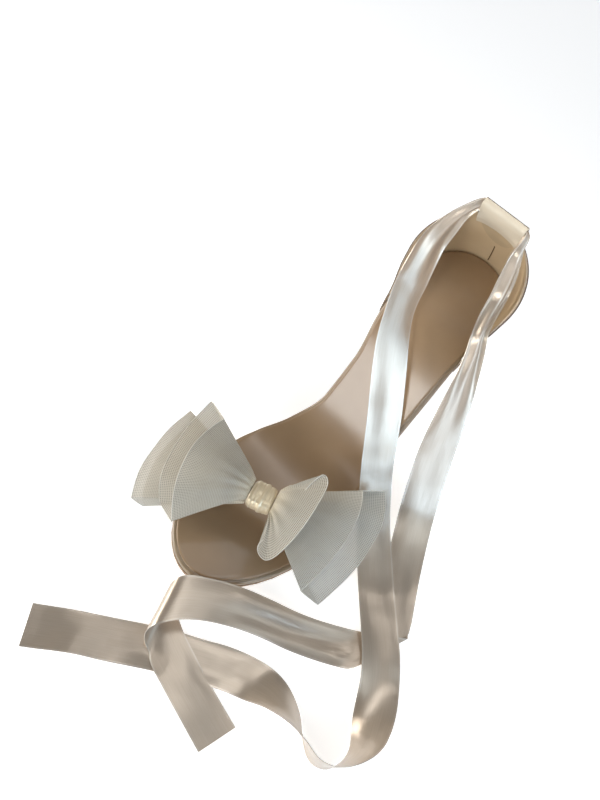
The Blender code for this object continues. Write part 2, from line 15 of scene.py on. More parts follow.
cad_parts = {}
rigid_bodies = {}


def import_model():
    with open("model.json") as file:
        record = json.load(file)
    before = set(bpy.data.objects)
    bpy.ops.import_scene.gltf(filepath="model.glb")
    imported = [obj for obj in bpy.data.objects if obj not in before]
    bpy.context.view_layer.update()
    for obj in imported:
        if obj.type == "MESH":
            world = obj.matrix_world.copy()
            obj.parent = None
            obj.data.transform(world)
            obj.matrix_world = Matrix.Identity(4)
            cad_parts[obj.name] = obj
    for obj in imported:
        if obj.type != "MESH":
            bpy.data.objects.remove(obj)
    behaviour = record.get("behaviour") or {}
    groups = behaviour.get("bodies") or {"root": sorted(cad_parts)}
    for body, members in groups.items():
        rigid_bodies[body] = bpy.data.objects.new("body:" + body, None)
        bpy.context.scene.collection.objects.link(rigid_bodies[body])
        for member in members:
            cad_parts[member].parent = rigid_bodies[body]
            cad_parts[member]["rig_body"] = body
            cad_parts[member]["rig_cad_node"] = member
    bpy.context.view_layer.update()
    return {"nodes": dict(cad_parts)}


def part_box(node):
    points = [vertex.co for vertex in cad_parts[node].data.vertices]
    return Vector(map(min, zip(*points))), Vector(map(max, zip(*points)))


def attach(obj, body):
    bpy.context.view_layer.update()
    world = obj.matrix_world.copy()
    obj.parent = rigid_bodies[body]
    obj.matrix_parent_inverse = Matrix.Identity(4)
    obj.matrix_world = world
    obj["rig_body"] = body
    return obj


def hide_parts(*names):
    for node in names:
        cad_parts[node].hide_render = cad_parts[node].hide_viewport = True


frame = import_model()
MM = 0.001

# ---- shape of the last, in mm
INSOLE_LENGTH = 243.0
TIP_SETBACK = 24.9
SOLE_LOW = 6.0
GAP = 0.4
SOCK_THICK = 0.7
INSOLE_THICK = 3.0
HEEL_ROUND = 30.0
TOE_ROUND_MEDIAL = 52.0
TOE_ROUND_LATERAL = 58.0
HEEL_POWER = 2.1
TOE_POWER = 1.85
TOE_SWING = -1.5
COUNTER_THICK = 1.8
COUNTER_TILT = math.radians(20.6)
COUNTER_END = 58.0
WING_END, WING_RUN = COUNTER_END + 3, 20
COUNTER_FLARE = 5.5
COUNTER_LEAN = 6.2
TUNNEL_UP = 43.4
TAB_TOP, TAB_DROP, TAB_HALF, TAB_THICK = 35.0, 15.0, 12.0, 0.5    # the lining tab under the tunnel
RIBBON_WIDTH = 20.0


def table(columns, *rows):
    """A small table as named columns."""
    return {name: np.array(values, float) for name, values in zip(columns.split(), zip(*rows))}


def clamp(value):
    """A number held between 0 and 1."""
    return min(max(value, 0.0), 1.0)


def unit(vectors):
    """The ways of some vectors, each one long."""
    return vectors / np.linalg.norm(vectors, axis=-1, keepdims=True)


def added_up(steps):
    """Running total, from nought."""
    return np.concatenate([[0.0], np.cumsum(steps)])


def lengths_along(points):
    """How far along a line of points each one is."""
    return added_up(np.linalg.norm(np.diff(points, axis=0), axis=-1))


OUTLINE = table(
    "along medial lateral",
    (0, 25.9, 25.9), (34, 25.8, 25.6), (60, 24.1, 26.8), (90, 19.2, 27.6), (116, 18.9, 28.3),
    (140, 26.0, 32.0), (158, 34.2, 36.9), (172, 37.7, 38.7), (190, 37.6, 37.8), (243, 37.6, 36.8))
PROFILE = table(
    "along slope cup",
    (0, 20.2, 1.2), (40, 22.2, 1.2), (62, 45.2, 0.8), (85, 53.2, 0.5), (110, 51.6, 0.3),
    (130, 39.9, 0.1), (150, 19.2, 0.0), (168, 4.0, 0.0), (185, 0.0, 0.0), (215, -2.0, 0.0),
    (243, -4.5, 0.0))
TOPLINE = table(
    "along height",
    (0, 38.1), (3.4, 38.1), (7, 35.6), (12, 31.0), (18, 25.5), (27, 18.5), (36, 11.5), (44, 5.5),
    (50, 1.5), (58, -1.2))

# Ribbon routes: a place on the centre line, the way a row across points on the floor plan, how far
# it climbs (both in degrees) and its width from edge to edge.
RIBBON_MEDIAL = table(
    "x y z turn climb width",
    (-0.3, 7.1, 138.6, 90, -60, 6), (-8, 7.1, 138.6, 90, -60, 6), (-13.3, 7.1, 138.5, 90, -60, 8.2),
    (-18, 2.3, 131.7, 66, -42, 10.4), (-21, -2.2, 122.2, 50, -30, 15), (-22.2, -7.6, 112.4, 50, -25, 18),
    (-20.4, -14.2, 103.4, 50, -25, 19.6), (-18, -21, 96.2, 46, -27, 20), (-15.4, -28, 91, 46, -29, 20),
    (-11.6, -35, 85, 50, -24, 20), (-5.6, -43.2, 77, 50, -12, 20), (1.9, -50.3, 67, 50, -4, 20),
    (9.3, -56.6, 57, 50, -3, 20), (15.8, -62, 48, 50, -4, 20), (22.9, -69, 38.6, 51, -8, 20),
    (29.9, -76.7, 31, 53, -11, 20), (36.9, -83, 23, 54, -11, 20), (45.3, -90.8, 16, 53, -9, 20),
    (53.5, -98.5, 10, 50, -5, 20), (62.7, -107.1, 6, 48, 0, 20), (73.6, -118, 3.6, 45, 0, 20),
    (85, -130.6, 4.6, 38, 0, 20), (96.2, -142.9, 4.8, 34, 0, 20), (105.3, -155.6, 4.4, 27, 2, 20),
    (112.4, -171, 5.8, 16, 30, 20), (115.6, -185.6, 9.8, 0, 68, 20), (111, -197.8, 10.6, -40, 86, 20),
    (102.6, -202.4, 10.6, -84, 88, 20), (93.4, -200, 10.2, -110, 80, 20), (83, -195.6, 8.6, -102, 56, 20),
    (70, -193.8, 5.2, -88, 28, 20), (57.6, -196.2, 1.8, -70, 6, 20), (45.6, -201, 0.8, -61, 0, 20),
    (34.6, -207.3, 0.8, -58, 0, 20), (21.7, -214.5, 0.8, -58, 0, 20), (9.6, -222.3, 0.8, -57, 0, 20),
    (-2.1, -230.3, 0.8, -55, 1, 20), (-15.6, -239.5, 1.4, -55, 8, 20), (-33.6, -252.8, 0.8, -54, 0, 20))
RIBBON_LATERAL = table(
    "x y z turn climb width",
    (0.3, 7.1, 138.6, 90, -60, 6), (8, 7.1, 138.6, 90, -60, 6), (13.3, 7.1, 138.6, 90, -60, 6),
    (15.8, 1.6, 130.8, 66, -12, 9), (18.8, -1.2, 119.5, 56, -7, 12), (21.2, -4.6, 109.6, 52, -10, 12),
    (23.4, -11.6, 101.2, 47, -8, 10.5), (26.5, -19.4, 95.4, 50, -4, 9.5), (31.2, -24.4, 85.8, 53, -3, 11.5),
    (35.4, -30.2, 75, 52, -2, 15), (39.2, -36.2, 65.5, 50, 0, 18), (42.9, -42.4, 55.5, 47, 1, 19.5),
    (46.8, -49, 45, 42, 1, 20), (51.3, -55.6, 34.2, 36, 1, 20), (56.8, -63.2, 22.8, 30, 0, 20),
    (62.8, -72, 12.6, 25, 0, 20), (69.3, -82.6, 6, 23, 0, 20), (76, -95, 2.4, 24, 0, 20),
    (82.6, -107.5, 0.8, 28, 0, 20), (88.9, -120.1, 0.8, 38, 0, 20.4), (93, -129, 0.8, 57, 0, 23.2),
    (96.2, -136.4, 0.8, 72, 0, 28.5), (96.9, -138, 1.5, 72, 0, 28.5), (95.8, -139.6, 2.2, 72, 0, 28.5),
    (89.2, -146, 2, 92, 0, 22), (82.6, -151, 1.4, 112, 0, 20), (70, -158.6, 1.4, 117, 5, 19),
    (57.2, -165.4, 2.8, 117, 9, 18.6), (44.2, -171, 4.6, 118, 8, 18.8), (31.8, -177.4, 7.2, 117, 4, 19.6),
    (20, -185.2, 9.8, 116, 0, 20.8), (11.2, -192.8, 11.6, 114, 0, 22.6), (6.2, -199, 12.2, 112, 0, 25),
    (3.9, -203.2, 10.7, 112, 0, 25), (3.7, -206.7, 7, 112, 0, 25), (6.3, -208.9, 3.4, 112, 0, 25),
    (10.8, -210.4, 1.9, 112, 0, 25), (19.8, -214.4, 2, 92, -2, 21), (31.2, -217.6, 2.6, 78, -6, 20),
    (44, -220.7, 2.4, 76, -8, 20), (64.8, -225.3, 2, 76, -8, 20))

# Bow loops: their roots' side and height, their arch, and the mouth, as three points on each lip or,
# where it stands wide open, as a ring of points.
LOOPS = {
    "medial_front": dict(
        side=-1, root_up=2.7, arch=4,
        upper=((-41, -124.8, 38), (-36, -157, 41), (-20.9, -177.2, 22)),
        lower=((-54.6, -120.4, 34), (-47, -156, 27), (-33.5, -173, 16.5))),
    "medial_back": dict(
        side=-1, root_up=-2, arch=3.6,
        upper=((-61, -127.5, 24), (-58.5, -157.5, 16.5), (-48, -179, 8)),
        lower=((-58, -129.5, 17), (-54.5, -158.5, 8.5), (-42, -176, 4))),
    "lateral_front": dict(
        side=1, root_up=2.9, arch=2.2,
        mouth=((16.5, -114.8, 47.5), (22.4, -117.5, 47), (27.4, -137.4, 45),
               (28.4, -151.7, 37), (25.5, -160.4, 31), (18.1, -158.4, 31.5),
               (18.6, -146.2, 36), (15.9, -127, 42.5))),
    "lateral_back": dict(
        side=1, root_up=-2.1, arch=4.4,
        upper=((35.1, -99.4, 38), (45.5, -121.4, 31), (46.6, -153.3, 16)),
        lower=((43.2, -86.3, 30), (56.7, -108.2, 18.5), (57.1, -148.3, 7.5))),
}
LOOP_ROOT_HALF = (6.0, 1.75)
LOOP_ROOT_OUT = 6.75
NET_THICK, LIP_RADIUS = 0.16, 0.26
BOW_AXIS = np.array([0.946, 0.323, 0.0]) / math.hypot(0.946, 0.323)
FOOTWARD = np.array([BOW_AXIS[1], -BOW_AXIS[0], 0.0])
KNOT_CENTRE = np.array([1.7, -138.7, 31.4])
KNOT_HALF = (6.2, 8.2, 5.4)     # along the bow's axis, towards the toes and upwards
KNOT_FULL, KNOT_WALL = 0.97, 0.5


def smooth(x, xs, ys):
    """Monotone cubic through the table's points."""
    x, steps = np.asarray(x, float), np.diff(xs)
    rates = np.diff(ys) / steps
    slopes = np.concatenate([[rates[0]], np.zeros(len(xs) - 2), [rates[-1]]])
    for i in range(1, len(xs) - 1):
        if rates[i - 1] * rates[i] > 0:
            before, after = steps[i] * 2 + steps[i - 1], steps[i] + steps[i - 1] * 2
            slopes[i] = (before + after) / (before / rates[i - 1] + after / rates[i])
    i = np.clip(np.searchsorted(xs, x) - 1, 0, len(steps) - 1)
    t = (x - xs[i]) / steps[i]
    start = (1 + 2 * t) * (1 - t) ** 2 * ys[i] + t * (1 - t) ** 2 * steps[i] * slopes[i]
    finish = t * t * (3 - 2 * t) * ys[i + 1] + t * t * (t - 1) * steps[i] * slopes[i + 1]
    return start + finish


def body_width(along, side):
    """The outline's width on one side of the sole's middle, before its ends are rounded."""
    return float(smooth(along, OUTLINE["along"], OUTLINE["medial" if side < 0 else "lateral"]))


def half_width(along, side):
    """From the sole's middle to its edge, on one side."""
    width = body_width(along, side)
    toe_round = TOE_ROUND_MEDIAL if side < 0 else TOE_ROUND_LATERAL
    ends = ((along / HEEL_ROUND, HEEL_POWER), ((INSOLE_LENGTH - along) / toe_round, TOE_POWER))
    for reach, power in ends:
        width *= (1 - clamp(1 - reach) ** power) ** (1 / power)
    return width


def integrate_profile():
    """Walk along the insole and add up its slope: place along, world Y, world Z and angle."""
    along = np.linspace(0.0, INSOLE_LENGTH, 973)
    angle = np.radians(smooth(along, PROFILE["along"], PROFILE["slope"]))
    step = along[1] - along[0]
    run, drop = (added_up((wave(angle[1:]) + wave(angle[:-1])) / 2 * step) for wave in (np.cos, np.sin))
    return along, TIP_SETBACK - run, SOLE_LOW + drop.max() - drop, angle


WALK = integrate_profile()


def centre_line(along):
    """World Y and Z, slope angle and swing to the side of the sole's middle."""
    y, z, angle = (float(np.interp(along, WALK[0], column)) for column in WALK[1:])
    swing = TOE_SWING * clamp((along - 60) / 180) ** 2
    return y, z, angle, swing


def sole_point(along, across, depth):
    """A point of the sole at a depth under its face, which is cupped a little at the heel."""
    y, z, angle, swing = centre_line(along)
    side = 1 if across > 0 else -1
    outness = min(abs(across) / body_width(along, side), 1.1)
    up = float(smooth(along, PROFILE["along"], PROFILE["cup"])) * outness ** 2 - depth
    return Vector((swing + across, y - math.sin(angle) * up, z + math.cos(angle) * up))


def edge_frame(along, side):
    """A place on the sole's edge, and the direction that points out of it."""
    angle = centre_line(along)[2]
    low, high = max(along - 0.3, 0.0), along + 0.3
    growth = (half_width(high, side) - half_width(low, side)) / (high - low)
    toeward = Vector((0.0, -math.cos(angle), -math.sin(angle)))
    outward = (Vector((side, 0.0, 0.0)) - toeward * growth).normalized()
    return sole_point(along, side * half_width(along, side), 0.0), outward


def counter_point(along, side, up, inward=0.0):
    """Inner face of the heel cup at a height above the heel seat, or a little inside that face."""
    edge, outward = edge_frame(along, side)
    rise = Vector((0.0, -math.sin(COUNTER_TILT), math.cos(COUNTER_TILT)))
    backness = clamp(outward.y) ** 1.5
    swell = 1.2 * math.sin(math.pi * clamp(up / 26)) - COUNTER_LEAN * (up / 50) ** 2
    open_up = COUNTER_FLARE * math.sin(clamp(up / 30) * math.pi / 2)
    wing = clamp((COUNTER_END - along) / WING_RUN)
    lean = backness * swell + (1 - backness) * open_up * wing
    level = Vector((outward.x, outward.y, 0.0)).normalized()
    return edge + level * (GAP + lean - inward) + rise * up


def between(a, b, c, d, t):
    """Catmull-Rom curve: the value at a share t of the way from b to c."""
    return b + (c - a) * t / 2 + (a - 2.5 * b + 2 * c - d / 2) * t ** 2 \
        + (1.5 * b - a / 2 - 1.5 * c + d / 2) * t ** 3


def curve_through(places, values):
    """Smooth curve through evenly numbered values."""
    values = np.concatenate([[2 * values[0] - values[1]], values, [2 * values[-1] - values[-2]]])
    k = np.clip(places.astype(int), 0, len(values) - 4)
    return between(*(values[k + j] for j in range(4)), places - k)


def ring_through(points, count):
    """Evenly spread points on the closed smooth curve through a ring of points."""
    ring = np.array(points, float)
    place = np.arange(count) / count * len(ring)
    k = place.astype(int)
    return between(*(ring[(k + j) % len(ring)] for j in (-1, 0, 1, 2)), (place - k)[:, None])


# ---- the camera
CAMERA_AIM, CAMERA_AWAY = Vector((-0.0225, -0.0860, 0.0400)), 0.3763
CAMERA_TURNS = 23.2, 54.8, 23.0        # azimuth, elevation and roll in degrees


def place_camera():
    """A camera that looks down on the shoe from its front, rolled so that the shoe lies aslant."""
    azimuth, elevation, roll = (math.radians(angle) for angle in CAMERA_TURNS)
    back = Vector((math.sin(azimuth) * math.cos(elevation), -math.cos(azimuth) * math.cos(elevation),
                   math.sin(elevation)))
    turn = back.to_track_quat("Z", "Y") @ Quaternion((0, 0, 1), roll)
    bpy.ops.object.camera_add(location=CAMERA_AIM + back * CAMERA_AWAY, rotation=turn.to_euler())
    camera = bpy.context.object
    camera.name = "shoe_camera"
    camera.data.lens = 31.5
    camera.data.clip_start = 0.01
    bpy.context.scene.camera = camera


# ---- working with pieces
def clear_selection():
    if bpy.context.object and bpy.context.object.mode != "OBJECT":
        bpy.ops.object.mode_set(mode="OBJECT")
    bpy.ops.object.select_all(action="DESELECT")


def take_up(piece):
    clear_selection()
    piece.select_set(True)
    bpy.context.view_layer.objects.active = piece


def apply_modifier(piece, kind, **settings):
    take_up(piece)
    bpy.ops.object.modifier_add(type=kind)
    modifier = piece.modifiers[-1]
    for name, value in settings.items():
        setattr(modifier, name, value)
    bpy.ops.object.modifier_apply(modifier=modifier.name)


def thicken(piece, thick, offset=0.0):
    """Give a laid cloth its thickness, in millimetres."""
    apply_modifier(piece, "SOLIDIFY", thickness=thick * MM, offset=offset)


def weld(piece, threshold, quads=False, fill=False):
    """Merge a piece's doubled points, close its holes if asked, and turn its faces outwards."""
    take_up(piece)
    bpy.ops.object.mode_set(mode="EDIT")
    bpy.ops.mesh.select_all(action="SELECT")
    bpy.ops.mesh.remove_doubles(threshold=threshold)
    if quads:
        bpy.ops.mesh.tris_convert_to_quads()
    if fill:
        bpy.ops.mesh.fill_holes(sides=0)
    bpy.ops.mesh.normals_make_consistent(inside=False)
    bpy.ops.object.mode_set(mode="OBJECT")


def laid_cloth(name, rows, across, along, closed=False, fill=False):
    """A grid primitive with its rows laid at the given points, and its UV map in metres."""
    rows = np.asarray(rows, float)
    count, columns = rows.shape[:2]
    clear_selection()
    bpy.ops.mesh.primitive_grid_add(x_subdivisions=columns - 1, y_subdivisions=count - 1, size=1.0)
    piece = bpy.context.object
    piece.name = name
    mesh = piece.data
    mesh.name = name
    mesh.vertices.foreach_set("co", (rows * MM).reshape(-1))
    picks = np.zeros(len(mesh.loops), int)
    mesh.loops.foreach_get("vertex_index", picks)
    across, along = np.broadcast_arrays(across, along)
    flat = np.stack([across.reshape(-1)[picks], along.reshape(-1)[picks]], 1) * MM
    mesh.uv_layers[0].data.foreach_set("uv", flat.reshape(-1))
    if closed:
        weld(piece, 1e-6, fill=fill)
    mesh.update()
    return piece


def keep_solid(node, name, levels, finish, slot):
    """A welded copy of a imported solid, rounded off by subdivision levels and given its finish."""
    take_up(frame["nodes"][node])
    bpy.ops.object.duplicate()
    piece = bpy.context.object
    piece.name = name
    piece.data.name = name
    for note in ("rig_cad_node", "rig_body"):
        if note in piece:
            del piece[note]
    bpy.ops.mesh.customdata_custom_splitnormals_clear()
    weld(piece, 2e-6, quads=levels > 0)
    if levels:
        apply_modifier(piece, "SUBSURF", levels=levels, render_levels=levels)
    fit(piece, finish, slot, node, crease=60 if levels else 40)


def fit(piece, finish, slot, *nodes, crease=60):
    """Give a piece its finish, smooth faces up to a crease angle, its body and its solid hidden; the slot is
    not used.
    """
    take_up(piece)
    bpy.ops.object.shade_smooth_by_angle(angle=math.radians(crease))
    piece.data.materials.clear()
    piece.data.materials.append(FINISH[finish])
    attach(piece, "root")
    if nodes:
        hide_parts(*nodes)


def mark_strips(piece, pattern):
    """Note on each face of a freshly laid cloth which finish it gets, by its row and column."""
    layer = piece.data.attributes.new("strip", "INT", "FACE")
    layer.data.foreach_set("value", np.ascontiguousarray(pattern, dtype=np.int32).reshape(-1))


def dress_strips(piece, *finishes):
    """Add more finishes to a fitted piece and hand each face the one noted for it."""
    for finish in finishes:
        piece.data.materials.append(FINISH[finish])
    noted = [item.value for item in piece.data.attributes["strip"].data]
    for face, value in zip(piece.data.polygons, noted):
        face.material_index = value
    piece.data.attributes.remove(piece.data.attributes["strip"])


def rounded_line(name, points, radius, sides=8, closed=False):
    """A thin cord of thread or piping laid along points."""
    points = np.asarray(points, float)
    run = unit(np.roll(points, -1, 0) - np.roll(points, 1, 0) if closed else np.gradient(points, axis=0))
    side = unit(np.cross(run, (0.13, 0.21, 0.97)))
    other = np.cross(run, side)
    turn = np.linspace(0, 2 * math.pi, sides + 1)
    rows = points[:, None] + radius * (np.cos(turn)[None, :, None] * side[:, None]
                                       + np.sin(turn)[None, :, None] * other[:, None])
    if closed:
        rows = np.concatenate([rows, rows[:1]])
    piece = laid_cloth(name, rows, (turn * radius)[None, :], lengths_along(rows[:, 0])[:, None],
                       closed=True, fill=not closed)
    return piece


# ---- materials
class Graph:
    """A node tree with short calls for the nodes that the finishes use."""

    def __init__(self, tree):
        self.tree = tree

    def feed(self, node, inputs):
        """Link a value to each named input of a node, or set it where it is a plain one."""
        for socket, value in inputs.items():
            if isinstance(value, bpy.types.NodeSocket):
                self.tree.links.new(value, node.inputs[socket])
            else:
                node.inputs[socket].default_value = value

    def add(self, kind, inputs=None, **settings):
        node = self.tree.nodes.new(kind)
        for name, value in settings.items():
            setattr(node, name, value)
        self.feed(node, inputs or {})
        return node

    def place(self, kind="Object"):
        return self.add("ShaderNodeTexCoord").outputs[kind]

    def split(self, vector):
        return self.add("ShaderNodeSeparateXYZ", {0: vector}).outputs

    def group(self, tree, inputs):
        return self.add("ShaderNodeGroup", inputs, node_tree=tree).outputs

    def math(self, operation, *values, held=False):
        node = self.add("ShaderNodeMath", dict(enumerate(values)), operation=operation, use_clamp=held)
        return node.outputs[0]

    def mix(self, factor, first, second):
        return self.add("ShaderNodeMix", {0: factor, 6: first, 7: second}, data_type="RGBA").outputs[2]

    def remap(self, value, low, high, to_low=0.0, to_high=1.0, smooth_step=False):
        node = self.add("ShaderNodeMapRange", {0: value, 1: low, 2: high, 3: to_low, 4: to_high},
                        interpolation_type="SMOOTHSTEP" if smooth_step else "LINEAR")
        return node.outputs[0]

    def noise(self, place, scale, detail=3.0, roughness=0.55):
        node = self.add("ShaderNodeTexNoise", {"Vector": place, "Scale": scale, "Detail": detail,
                                               "Roughness": roughness})
        return node.outputs["Fac"]

    def bump(self, strength, distance, height, **under):
        node = self.add("ShaderNodeBump", {"Strength": strength, "Distance": distance, "Height": height,
                                           **under})
        return node.outputs[0]


def new_group(name, inputs, outputs):
    """A node group; an input with no value is a place, and all its other sockets are numbers."""
    group = bpy.data.node_groups.new(name, "ShaderNodeTree")
    for socket, value in inputs.items():
        kind = "NodeSocketVector" if value is None else "NodeSocketFloat"
        made = group.interface.new_socket(name=socket, in_out="INPUT", socket_type=kind)
        if value is not None:
            made.default_value = value
    for socket in outputs:
        group.interface.new_socket(name=socket, in_out="OUTPUT", socket_type="NodeSocketFloat")
    return Graph(group), group.nodes.new("NodeGroupInput").outputs, group.nodes.new("NodeGroupOutput")


PORE_SCALE, CREASE_SCALE = 2600.0, 90.0
WARP_PITCH, WEFT_PITCH, SLUB_SCALE, CRUMPLE_SCALE = 0.00024, 0.0009, 2600.0, 85.0
NET_PITCH, NET_THREAD = 0.0009, 0.42        # one cell of the net, and a thread's share of it


def make_leather_grain():
    """Fine pores and soft creases of a leather face."""
    graph, given, out = new_group(
        "leather_grain", {"Place": None, "Pore Scale": PORE_SCALE, "Crease Scale": CREASE_SCALE},
        ("Height", "Cloud"))
    pores = graph.add("ShaderNodeTexVoronoi", {"Vector": given["Place"], "Scale": given["Pore Scale"]})
    pore = graph.remap(pores.outputs["Distance"], 0.0, 0.7)
    crease = graph.noise(given["Place"], given["Crease Scale"], 4.0, 0.6)
    graph.feed(out, {"Height": graph.math("ADD", graph.math("MULTIPLY", pore, 0.25), crease),
                     "Cloud": graph.noise(given["Place"], 28.0, 3.0, 0.5)})
    return graph.tree


def make_satin_weave():
    """Long warp floats over a fine weft, a soft crumple, and the bound selvedge at both edges."""
    graph, given, out = new_group("satin_weave", {"Flat": None, "Width": RIBBON_WIDTH * MM},
                                  ("Height", "Selvedge", "Float", "Crumple"))
    across, along = graph.split(given["Flat"])[:2]
    warp = graph.math("SINE", graph.math("MULTIPLY", across, 2 * math.pi / WARP_PITCH))
    weft = graph.math("SINE", graph.math("MULTIPLY", along, 2 * math.pi / WEFT_PITCH))

    def drawn_out(share):
        shortened = graph.math("MULTIPLY", along, share)
        return graph.add("ShaderNodeCombineXYZ", {0: across, 1: shortened}).outputs[0]

    slub = graph.noise(drawn_out(0.02), SLUB_SCALE, 3.0, 0.6)
    crumple = graph.noise(drawn_out(0.22), CRUMPLE_SCALE, 2.0, 0.4)
    threads = graph.math("MULTIPLY_ADD", weft, 0.05, graph.math("MULTIPLY_ADD", warp, 0.16, slub))
    middle = graph.math("MULTIPLY", given["Width"], 0.5)
    off = graph.math("ABSOLUTE", graph.math("SUBTRACT", across, middle))
    selvedge = graph.remap(graph.math("SUBTRACT", middle, off), 0.00055, 0.0009, 1.0, 0.0, True)
    graph.feed(out, {"Height": graph.math("MULTIPLY_ADD", selvedge, 1.6, threads), "Selvedge": selvedge,
                     "Float": slub, "Crumple": crumple})
    return graph.tree


def make_net_weave():
    """Open net of crossing threads: a mask that is 1 on a thread, and the threads' height."""
    graph, given, out = new_group("net_weave", {"Flat": None, "Pitch": NET_PITCH, "Thread": NET_THREAD},
                                  ("Mask", "Height"))
    threads = []
    for place in graph.split(given["Flat"])[:2]:
        wave = graph.math("PINGPONG", graph.math("DIVIDE", place, given["Pitch"]), 0.5)
        nearness = graph.math("SUBTRACT", 1.0, graph.math("MULTIPLY", wave, 2.0))
        low = graph.math("SUBTRACT", 1.0, given["Thread"])
        threads.append(graph.math("MULTIPLY", graph.math("SUBTRACT", nearness, low), 6.0, held=True))
    graph.feed(out, {"Mask": graph.math("MAXIMUM", *threads), "Height": graph.math("ADD", *threads)})
    return graph.tree


LEATHER_GRAIN = make_leather_grain()
SATIN_WEAVE = make_satin_weave()
NET_WEAVE = make_net_weave()


def shade(red, green, blue):
    """A colour given as it is seen on a screen, 0 to 255, as the shader's linear values."""
    def linear(value):
        value /= 255
        return value / 12.92 if value <= 0.04045 else ((value + 0.055) / 1.055) ** 2.4
    return linear(red), linear(green), linear(blue), 1.0


SELVEDGE_SHADE = shade(243, 240, 232)
THREAD_SHADE = shade(246, 244, 236)
DUST_SHADE = shade(74, 66, 58)


def start_finish(name, **values):
    """A material with its shader's plain values set, ready for its nodes."""
    material = bpy.data.materials.new(name)
    material.use_nodes = True
    shader = material.node_tree.nodes["Principled BSDF"]
    for socket, value in values.items():
        shader.inputs[socket.replace("_", " ")].default_value = value
    return material, Graph(material.node_tree), shader


def leather_finish(name, light, dark, roughness, coat, bump=0.05):
    """Coated leather: clouded colour, pores and soft creases."""
    material, graph, shader = start_finish(name, Coat_Weight=coat, Coat_Roughness=0.18)
    grain = graph.group(LEATHER_GRAIN, {"Place": graph.place(), "Pore Scale": PORE_SCALE,
                                        "Crease Scale": CREASE_SCALE})
    cloud = graph.remap(grain["Cloud"], 0.2, 0.8, smooth_step=True)
    graph.feed(shader, {
        "Base Color": graph.mix(cloud, shade(*dark), shade(*light)),
        "Roughness": graph.remap(grain["Cloud"], 0.15, 0.85, roughness * 1.12, roughness * 0.94),
        "Normal": graph.bump(bump, 0.0006, grain["Height"])})
    return material


def satin_finish(name, light, dark, width=RIBBON_WIDTH * MM, shine=0.48):
    """Ribbon satin: a sheen that follows the warp, slubs, a soft crumple and a paler bound edge."""
    material, graph, shader = start_finish(name, Metallic=shine, Sheen_Weight=0.15, Sheen_Roughness=0.4,
                                           Anisotropic=0.5, Specular_IOR_Level=0.6)
    weave = graph.group(SATIN_WEAVE, {"Flat": graph.place("UV"), "Width": width})
    colour = graph.mix(graph.remap(weave["Float"], 0.3, 0.7), shade(*dark), shade(*light))
    crumpled = graph.bump(0.3, 0.0016, weave["Crumple"])
    graph.feed(shader, {
        "Base Color": graph.mix(graph.math("MULTIPLY", weave["Selvedge"], 0.3), colour, SELVEDGE_SHADE),
        "Roughness": graph.remap(weave["Float"], 0.2, 0.8, 0.26, 0.21),
        "Normal": graph.bump(0.12, 0.0004, weave["Height"], Normal=crumpled)})
    return material


def net_finish(name, colour, near_knot, pitch=NET_PITCH, thread=NET_THREAD, film=0.50,
               thread_cover=(0.16, 0.40)):
    """Stiff sheer net: a film with threads that cover more at the lip, denser and warmer by the knot."""
    material, graph, shader = start_finish(name, Roughness=0.42, Specular_IOR_Level=0.6, Sheen_Weight=0.3)
    flat, place = graph.place("UV"), graph.place()
    weave = graph.group(NET_WEAVE, {"Flat": flat, "Pitch": pitch, "Thread": thread})
    cloud = graph.remap(graph.noise(place, 55.0, 3.0), 0.35, 0.65)
    plain = shade(*colour)
    tint = graph.mix(cloud, plain, tuple(min(part * 1.12, 1.0) for part in plain[:3]) + (1.0,))
    away = graph.add("ShaderNodeVectorMath", {0: place, 1: tuple(KNOT_CENTRE * MM)},
                     operation="DISTANCE").outputs["Value"]
    drawn_in = graph.remap(away, 0.007, 0.020, 1.0, 0.0, True)
    tint = graph.mix(graph.math("MULTIPLY", drawn_in, 0.8), tint, shade(*near_knot))
    cover = graph.remap(graph.split(flat)[1], -0.016, -0.001, *thread_cover)
    alpha = graph.math("MULTIPLY_ADD", weave["Mask"], cover, film)
    graph.feed(shader, {
        "Base Color": graph.mix(graph.math("MULTIPLY", weave["Mask"], 0.3), tint, THREAD_SHADE),
        "Alpha": graph.math("MULTIPLY_ADD", drawn_in, 0.3, alpha, held=True),
        "Normal": graph.bump(0.2, 0.0002, weave["Height"])})
    return material


def lacquer_finish(name, light, dark):
    """Dark lacquered wood look of the heel: streaks up the heel under a clear coat."""
    material, graph, shader = start_finish(name, Coat_Weight=0.6, Coat_Roughness=0.05)
    place = graph.place()
    drawn = graph.add("ShaderNodeMapping", {0: place, "Scale": (1.0, 1.0, 0.12)}).outputs[0]
    streak = graph.noise(drawn, 420.0, 5.0, 0.6)
    cloud = graph.noise(place, 60.0, 2.0)
    tone = graph.math("MULTIPLY_ADD", cloud, 0.5, graph.math("MULTIPLY", streak, 0.5))
    graph.feed(shader, {
        "Base Color": graph.mix(graph.remap(tone, 0.35, 0.62), shade(*dark), shade(*light)),
        "Roughness": graph.remap(streak, 0.3, 0.7, 0.26, 0.20),
        "Normal": graph.bump(0.05, 0.0004, streak)})
    return material


def rubber_finish(name, colour):
    """Moulded rubber, or the dark line of painted shade along edges: fine stipple and dusty scuffs."""
    material, graph, shader = start_finish(name)
    place = graph.place()
    scuff = graph.remap(graph.noise(place, 260.0, 5.0, 0.7), 0.52, 0.72)
    graph.feed(shader, {
        "Base Color": graph.mix(graph.math("MULTIPLY", scuff, 0.35), shade(*colour), DUST_SHADE),
        "Roughness": graph.remap(scuff, 0.0, 1.0, 0.48, 0.75),
        "Normal": graph.bump(0.25, 0.0002, graph.noise(place, 3800.0, 2.0, 0.7))})
    return material


